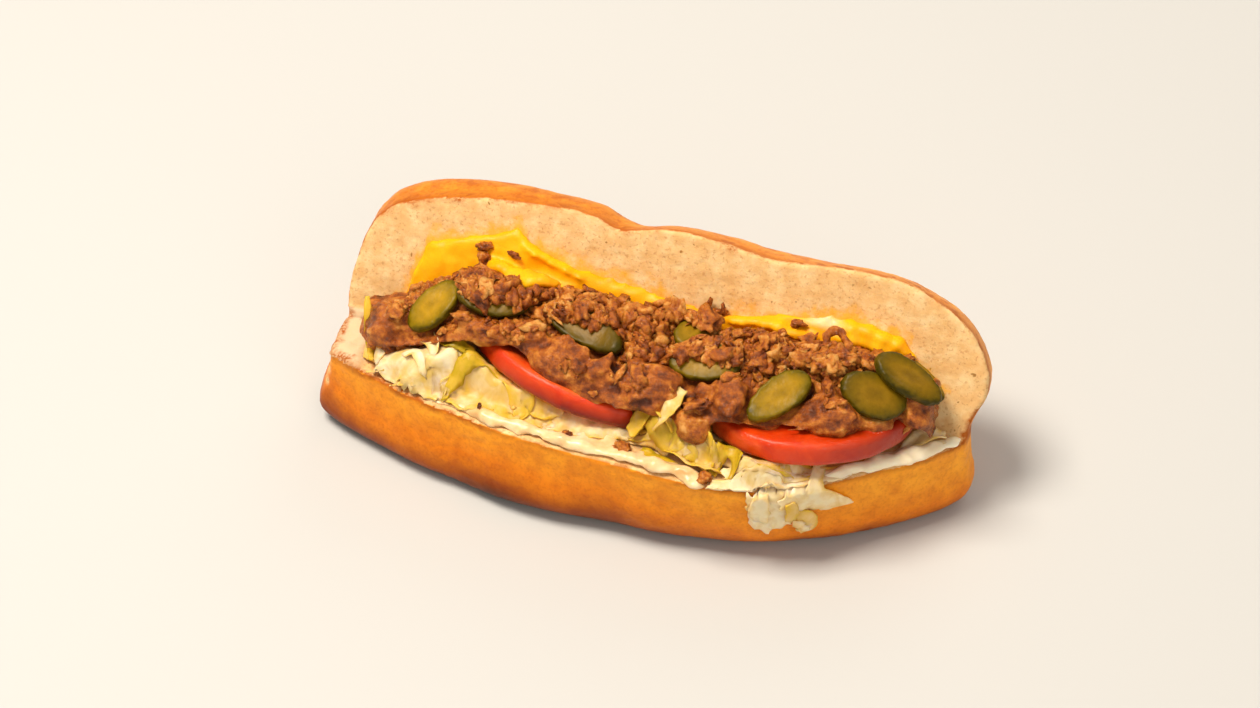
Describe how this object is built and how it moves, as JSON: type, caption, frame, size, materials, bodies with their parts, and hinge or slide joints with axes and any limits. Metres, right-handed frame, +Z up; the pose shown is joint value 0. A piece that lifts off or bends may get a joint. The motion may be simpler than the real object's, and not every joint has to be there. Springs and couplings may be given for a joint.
{
  "type": "sub sandwich",
  "caption": "Soft sub roll folded open along its back, filled with shredded lettuce, tomato, chopped meat, pickle slices, melted cheese and mayonnaise; lies flat on its underside.",
  "frame": {"origin": "on the flat underside of the bottom half, below the middle of the roll's length", "axes": "+X along the roll, +Y towards the fold at its back, +Z up; the top half stands on the +Y side"},
  "size_m": [0.2043, 0.0826, 0.0688],
  "materials": {
    "soft_bread": "satin golden crust, pale open crumb on the two cut faces",
    "iceberg_lettuce": "moist, pale and slightly see-through",
    "mayonnaise": "creamy, softly glossy",
    "tomato": "wet and glossy",
    "melted_cheese": "soft gloss",
    "chopped_meat": "browned, moist in places",
    "pickle": "wet, with dark green skin"
  },
  "bodies": {
    "root": {"roll": "soft_bread", "meat": "chopped_meat", "cheese": "melted_cheese", "lettuce": "iceberg_lettuce", "lettuce_spill": "iceberg_lettuce", "tomato_left": "tomato", "tomato_right": "tomato", "mayonnaise_left": "mayonnaise", "mayonnaise_right": "mayonnaise", "pickle_1": "pickle", "pickle_2": "pickle", "pickle_3": "pickle", "pickle_4": "pickle", "pickle_5": "pickle", "pickle_6": "pickle", "pickle_7": "pickle", "pickle_8": "pickle", "pickle_9": "pickle"}
  },
  "joints": []
}
